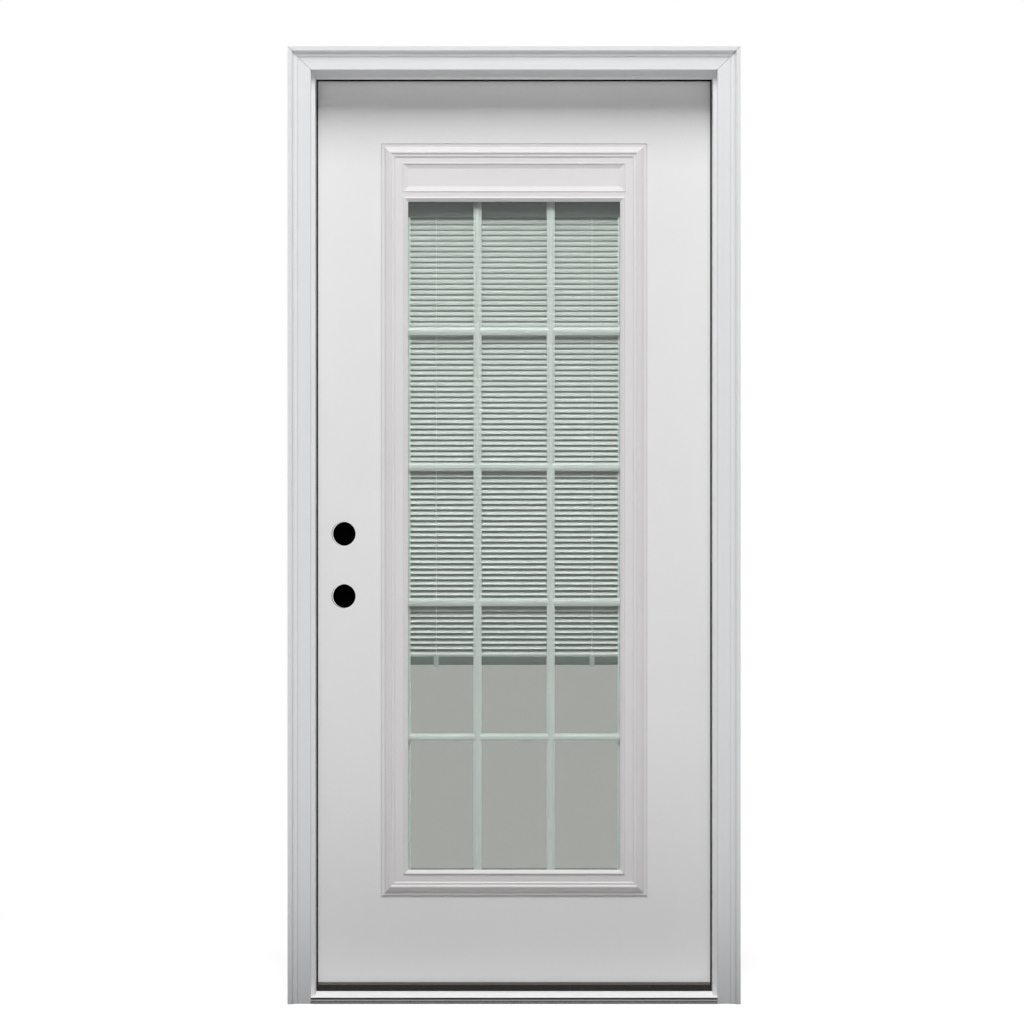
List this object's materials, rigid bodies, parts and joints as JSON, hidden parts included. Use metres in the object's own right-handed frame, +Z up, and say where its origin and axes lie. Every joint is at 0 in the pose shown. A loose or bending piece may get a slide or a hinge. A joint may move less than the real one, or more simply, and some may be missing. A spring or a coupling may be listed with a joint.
{
  "type": "fiberglass front door",
  "caption": "Prehung inswing front door: smooth slab bored for a lock and deadbolt, full lite with grille and slat blind between panes, casing, jambs and sill.",
  "frame": {"origin": "on the sill's underside, at mid width, in the plane where the casing's back meets the wall", "axes": "+X to the right seen from outside, +Y from outside to inside, +Z up"},
  "size_m": [1.005, 0.161, 2.1252],
  "materials": {
    "casing_white": "satin white",
    "jamb_white": "primed white",
    "sill_composite": "matte grey",
    "sill_deck": "white satin",
    "sill_cap": "matte bronze",
    "weatherstrip": "matte black",
    "skin": "smooth satin white",
    "stile": "sealed composite",
    "block": "bare wood",
    "foam": "cut foam",
    "sweep": "matte",
    "lite_white": "moulded satin white",
    "clear_glass": "clear",
    "grey_glass": "grey",
    "spacer": "satin grey",
    "grille": "satin white",
    "slat": "satin white",
    "string": "woven",
    "channel": "milky",
    "operator": "satin white",
    "hinge": "satin nickel"
  },
  "bodies": {
    "frame": {"brickmould_left": "casing_white", "brickmould_right": "casing_white", "brickmould_head": "casing_white", "latch_jamb": "jamb_white", "hinge_jamb": "jamb_white", "head_jamb": "jamb_white", "sill_base": "sill_composite", "sill_deck": "sill_deck", "sill_cap": "sill_cap", "weatherstrip_left": "weatherstrip", "weatherstrip_right": "weatherstrip", "weatherstrip_head": "weatherstrip", "hinge_top_frame_leaf": "hinge", "hinge_top_pin": "hinge", "hinge_middle_frame_leaf": "hinge", "hinge_middle_pin": "hinge", "hinge_bottom_frame_leaf": "hinge", "hinge_bottom_pin": "hinge"},
    "door": {"exterior_skin": "skin", "interior_skin": "skin", "lock_stile": "stile", "hinge_stile": "stile", "top_rail": "stile", "bottom_rail": "stile", "lock_block": "block", "foam_core": "foam", "door_sweep": "sweep", "lite_frame_exterior": "lite_white", "lite_frame_interior": "lite_white", "exterior_pane": "clear_glass", "interior_pane": "grey_glass", "glass_spacer": "spacer", "grille": "grille", "blind_headrail": "slat", "blind_slats": "slat", "blind_bottom_rail": "slat", "blind_ladder_strings": "string", "blind_side_channels": "channel", "blind_clips": "channel", "blind_operator": "operator", "blind_slider": "operator", "hinge_top_door_leaf": "hinge", "hinge_middle_door_leaf": "hinge", "hinge_bottom_door_leaf": "hinge"}
  },
  "joints": [
    {"name": "door_swing", "type": "hinge", "parent": "frame", "child": "door", "pos_m": [0.4547, 0.1229, 1.1052], "axis": [0, 0, -1], "range_deg": [0, 170]}
  ]
}
